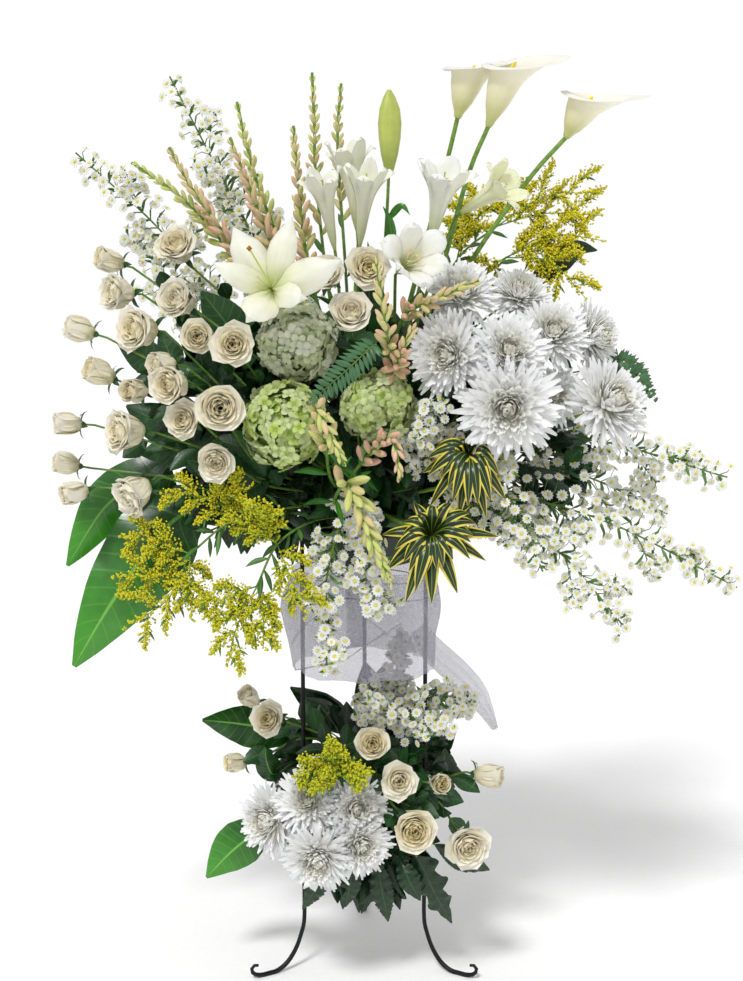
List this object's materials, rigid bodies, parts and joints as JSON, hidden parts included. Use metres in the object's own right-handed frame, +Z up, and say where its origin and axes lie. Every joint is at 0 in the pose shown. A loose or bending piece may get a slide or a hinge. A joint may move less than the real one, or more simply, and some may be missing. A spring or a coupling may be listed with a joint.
{
  "type": "standing funeral spray",
  "caption": "Tiered funeral spray of white lilies, roses, chrysanthemums and green leaves in foam on a black wrought iron stand with a net sleeve.",
  "frame": {"origin": "middle of the spray's width and depth, on the floor under its feet", "axes": "+X to the right as seen from the front, +Y from the front to the back, +Z up"},
  "size_m": [1.0958, 0.5258, 1.4899],
  "materials": {
    "iron": "satin black paint on bent iron bar",
    "bowl": "moulded dark green plastic",
    "foam": "wet floral foam, fine open cells",
    "net": "sheer pale net, gathered",
    "rose": "cream rose petals, soft sheen",
    "white": "white petals, matt",
    "lily": "waxy white lily petals",
    "calla": "smooth waxy white spathe",
    "lime": "lime green florets",
    "bud": "closed olive green lily bud",
    "tuberose": "pink and green tuberose buds",
    "aster": "small white daisies with yellow eyes",
    "yellow": "yellow goldenrod florets",
    "dark_leaf": "dark glossy leaves",
    "leaf": "fresh green leaves",
    "striped": "narrow green leaves with yellow edges",
    "fern": "blue-green fern"
  },
  "bodies": {
    "root": {"bowl_lower": "bowl", "bowl_upper": "bowl", "calla_left": "calla", "calla_middle": "calla", "calla_right": "calla", "chrysanthemums_back": "white", "chrysanthemums_front": "white", "chrysanthemums_lower": "white", "daisies_back_left": "aster", "daisies_hanging": "aster", "daisies_left": "aster", "daisies_lower": "aster", "daisies_middle": "aster", "daisies_right_lower": "aster", "daisies_right_upper": "aster", "fern_frond": "fern", "fern_tips_right": "fern", "foam_lower": "foam", "foam_upper": "foam", "goldenrod_left": "yellow", "goldenrod_lower": "yellow", "goldenrod_middle": "yellow", "goldenrod_right": "yellow", "greens_back": "dark_leaf", "greens_lower_back": "dark_leaf", "greens_lower_front": "dark_leaf", "hydrangea_left": "lime", "hydrangea_right": "lime", "hydrangea_upper": "lime", "leaf_dark_right": "dark_leaf", "leaf_large_lower": "leaf", "leaf_large_upper": "leaf", "leaf_lower_low": "leaf", "leaf_lower_upper": "leaf", "leg_back": "iron", "leg_left": "iron", "leg_right": "iron", "lily_bud": "bud", "lily_open": "lily", "net_wrap": "net", "ring_lower": "iron", "ring_upper": "iron", "roses_centre": "rose", "roses_front_left": "rose", "roses_inner_left": "rose", "roses_low_left": "rose", "roses_lower_front": "rose", "roses_lower_left": "rose", "roses_lower_right": "rose", "roses_middle_left": "rose", "roses_top_left": "rose", "striped_leaves_lower": "striped", "striped_leaves_upper": "striped", "trumpet_lilies_left": "white", "trumpet_lilies_right": "white", "tuberose_back": "tuberose", "tuberose_front": "tuberose", "tuberose_hanging": "tuberose", "tuberose_left": "tuberose", "tuberose_middle": "tuberose"}
  },
  "joints": []
}
